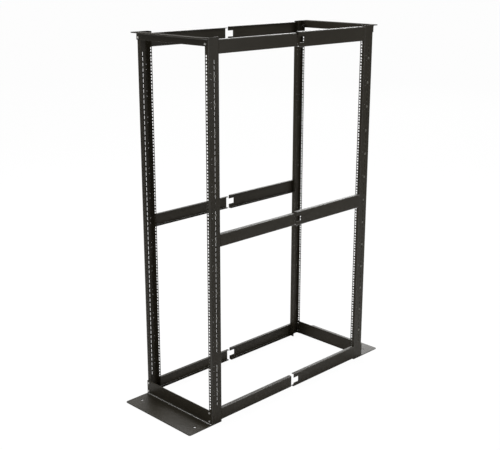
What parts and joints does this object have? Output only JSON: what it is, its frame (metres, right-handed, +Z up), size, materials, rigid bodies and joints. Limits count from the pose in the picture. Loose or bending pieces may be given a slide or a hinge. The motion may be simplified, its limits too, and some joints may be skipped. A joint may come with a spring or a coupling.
{
  "type": "four post open frame rack",
  "caption": "Open frame equipment rack: channel posts with square mounting holes, base and top angles, and side beams in halves that end at an open gap.",
  "frame": {"origin": "bottom centre of the bounding box: on the floor, midway between the posts", "axes": "+Z up; +X to the right seen from the front; the front frame is at -Y and the rear frame at +Y"},
  "size_m": [0.4952, 1.457, 1.869],
  "materials": {
    "black_powder_coat": "satin black powder coat"
  },
  "bodies": {
    "root": {"front_left_post": "black_powder_coat", "front_right_post": "black_powder_coat", "front_base_angle": "black_powder_coat", "front_top_angle": "black_powder_coat", "rear_left_post": "black_powder_coat", "rear_right_post": "black_powder_coat", "rear_base_angle": "black_powder_coat", "rear_top_angle": "black_powder_coat", "bottom_left_front_beam": "black_powder_coat", "bottom_left_rear_beam": "black_powder_coat", "bottom_right_front_beam": "black_powder_coat", "bottom_right_rear_beam": "black_powder_coat", "middle_left_front_beam": "black_powder_coat", "middle_left_rear_beam": "black_powder_coat", "middle_right_front_beam": "black_powder_coat", "middle_right_rear_beam": "black_powder_coat", "top_left_front_beam": "black_powder_coat", "top_left_rear_beam": "black_powder_coat", "top_right_front_beam": "black_powder_coat", "top_right_rear_beam": "black_powder_coat"}
  },
  "joints": []
}
